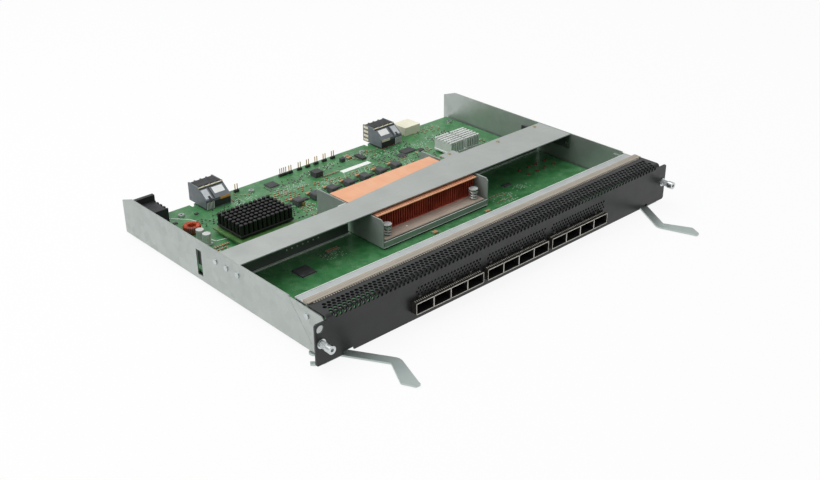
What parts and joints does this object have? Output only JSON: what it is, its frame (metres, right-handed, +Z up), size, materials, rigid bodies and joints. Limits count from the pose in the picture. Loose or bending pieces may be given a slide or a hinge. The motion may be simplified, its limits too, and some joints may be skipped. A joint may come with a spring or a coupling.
{
  "type": "switch line card",
  "caption": "Sheet-metal line card that slides into a network chassis: perforated front panel with ports, ejector levers, captive screws, and a board with copper heat sink and rear connectors.",
  "frame": {"origin": "middle of the tray's underside, on the surface that the card rests on", "axes": "+X along the front panel to the right as seen from the front, +Y from the panel to the rear connectors, +Z up from the tray floor"},
  "size_m": [0.441, 0.3746, 0.0448],
  "materials": {
    "galvanised_steel": "galvanised, satin",
    "zinc_steel": "zinc plated, satin",
    "bright_steel": "bright",
    "spring_steel": "bright",
    "cage_steel": "satin",
    "panel_paint": "fine matte",
    "gasket_foam": "conductive cloth over foam",
    "board_green": "solder mask on glass laminate",
    "brick_green": "solder mask",
    "black_plastic": "moulded",
    "connector_grey": "moulded",
    "guide_beige": "moulded",
    "base_plate_metal": "nickel plated",
    "copper_red": "oxidised copper",
    "copper_pale": "brushed copper",
    "black_aluminium": "black anodised",
    "plain_aluminium": "satin",
    "can_aluminium": "bright",
    "ferrite": "matte",
    "enamelled_wire": "enamelled",
    "capacitor_tan": "matte",
    "gold_pins": "bright",
    "light_bars": "clear"
  },
  "bodies": {
    "frame": {"chassis_tray": "galvanised_steel", "left_front_bracket": "galvanised_steel", "right_front_bracket": "galvanised_steel", "front_panel": "panel_paint", "gasket_carrier": "galvanised_steel", "foam_gasket": "gasket_foam", "cross_beam": "galvanised_steel", "beam_rivets": "bright_steel", "beam_screws": "bright_steel", "bracket_screws": "bright_steel", "circuit_board": "board_green", "board_standoffs": "bright_steel", "board_screws": "bright_steel", "switch_chip": "black_plastic", "heat_sink_base": "base_plate_metal", "copper_fin_stack": "copper_red", "copper_lid": "copper_pale", "heat_sink_shroud": "galvanised_steel", "sink_spacers": "bright_steel", "sink_spring_screws": "bright_steel", "sink_springs": "spring_steel", "left_port_cage": "cage_steel", "middle_port_cage": "cage_steel", "right_port_cage": "cage_steel", "port_connectors": "black_plastic", "status_lights": "light_bars", "rear_connector_left_housing": "connector_grey", "rear_connector_left_contacts": "black_plastic", "rear_connector_right_housing": "connector_grey", "rear_connector_right_contacts": "black_plastic", "guide_block": "guide_beige", "power_connector": "black_plastic", "brick_board": "brick_green", "brick_pins": "bright_steel", "brick_core": "black_plastic", "pin_fin_heat_sink": "black_aluminium", "silver_sink_chip": "black_plastic", "silver_heat_sink": "plain_aluminium", "toroid_core": "ferrite", "toroid_winding": "enamelled_wire", "control_chips": "black_plastic", "input_capacitors": "can_aluminium", "chip_capacitors": "capacitor_tan", "inductors": "ferrite", "power_stages": "black_plastic", "pin_headers": "black_plastic", "header_pins": "gold_pins", "left_lever_rivet": "bright_steel", "right_lever_rivet": "bright_steel", "left_captive_bush": "bright_steel", "right_captive_bush": "bright_steel", "left_captive_spring": "spring_steel", "right_captive_spring": "spring_steel"},
    "left_lever": {"left_lever": "zinc_steel"},
    "right_lever": {"right_lever": "zinc_steel"},
    "left_screw": {"left_captive_screw": "bright_steel"},
    "right_screw": {"right_captive_screw": "bright_steel"},
    "left_ring": {"left_retaining_ring": "spring_steel"},
    "right_ring": {"right_retaining_ring": "spring_steel"}
  },
  "joints": [
    {"name": "left_lever_swing", "type": "hinge", "parent": "frame", "child": "left_lever", "pos_m": [-0.202, -0.133, 0], "axis": [0, 0, 1], "range_deg": [0, 60]},
    {"name": "right_lever_swing", "type": "hinge", "parent": "frame", "child": "right_lever", "pos_m": [0.202, -0.133, 0], "axis": [0, 0, -1], "range_deg": [0, 60]},
    {"name": "left_screw_travel", "type": "slide", "parent": "frame", "child": "left_ring", "axis": [0, 1, 0], "range_m": [0, 0.005], "stiffness_N_per_m": 200, "springref_m": -0.002, "deforming": ["left_captive_spring"]},
    {"name": "left_screw_spin", "type": "hinge", "parent": "left_ring", "child": "left_screw", "pos_m": [-0.2148, -0.15, 0.0222], "axis": [0, 1, 0], "continuous": true},
    {"name": "right_screw_travel", "type": "slide", "parent": "frame", "child": "right_ring", "axis": [0, 1, 0], "range_m": [0, 0.005], "stiffness_N_per_m": 200, "springref_m": -0.002, "deforming": ["right_captive_spring"]},
    {"name": "right_screw_spin", "type": "hinge", "parent": "right_ring", "child": "right_screw", "pos_m": [0.2148, -0.15, 0.0222], "axis": [0, 1, 0], "continuous": true}
  ]
}
